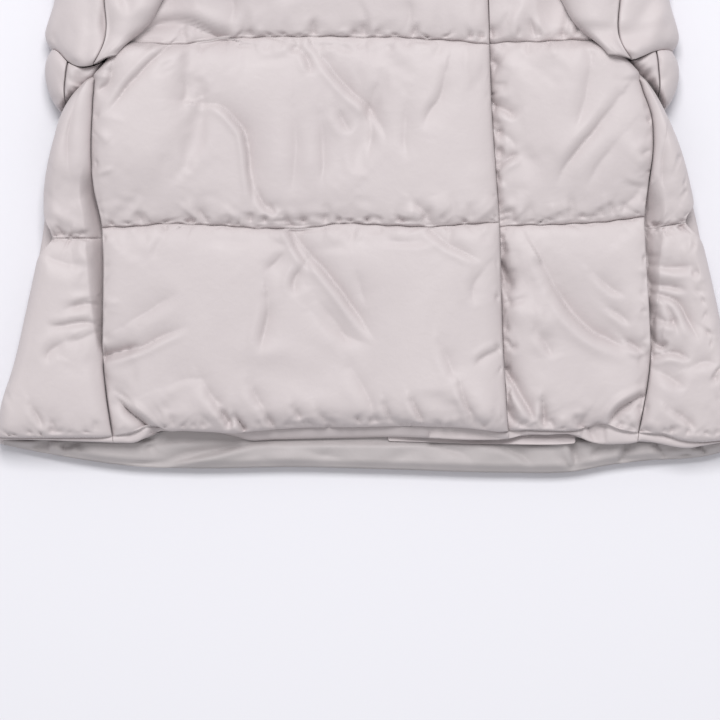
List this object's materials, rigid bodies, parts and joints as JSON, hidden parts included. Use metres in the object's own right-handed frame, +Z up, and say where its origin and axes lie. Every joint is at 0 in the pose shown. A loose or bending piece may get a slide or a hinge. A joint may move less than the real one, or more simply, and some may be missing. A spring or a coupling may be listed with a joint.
{
  "type": "quilted jacket",
  "caption": "Padded jacket with wide quilted cells, laid flat on its back: a right front that laps over the left, side panels, two-piece sleeves with cuffs and a plain stand collar.",
  "frame": {"origin": "on the surface the jacket lies on, below the middle of its bounding box", "axes": "+X towards the wearer's left side, +Y from the hem towards the neck, +Z up from the surface, through the back and then the fronts"},
  "size_m": [0.6562, 0.9616, 0.0743],
  "materials": {
    "shell": "matt woven nylon with a faint sheen",
    "facing": "matt woven nylon, slightly greyer"
  },
  "bodies": {
    "root": {"back": "shell", "collar": "shell", "cuff_left": "shell", "cuff_right": "shell", "front_left": "shell", "front_right": "shell", "hem_facing_back": "facing", "side_left": "shell", "side_right": "shell", "sleeve_left_inner": "shell", "sleeve_left_outer": "shell", "sleeve_right_inner": "shell", "sleeve_right_outer": "shell", "wind_flap": "facing"}
  },
  "joints": []
}
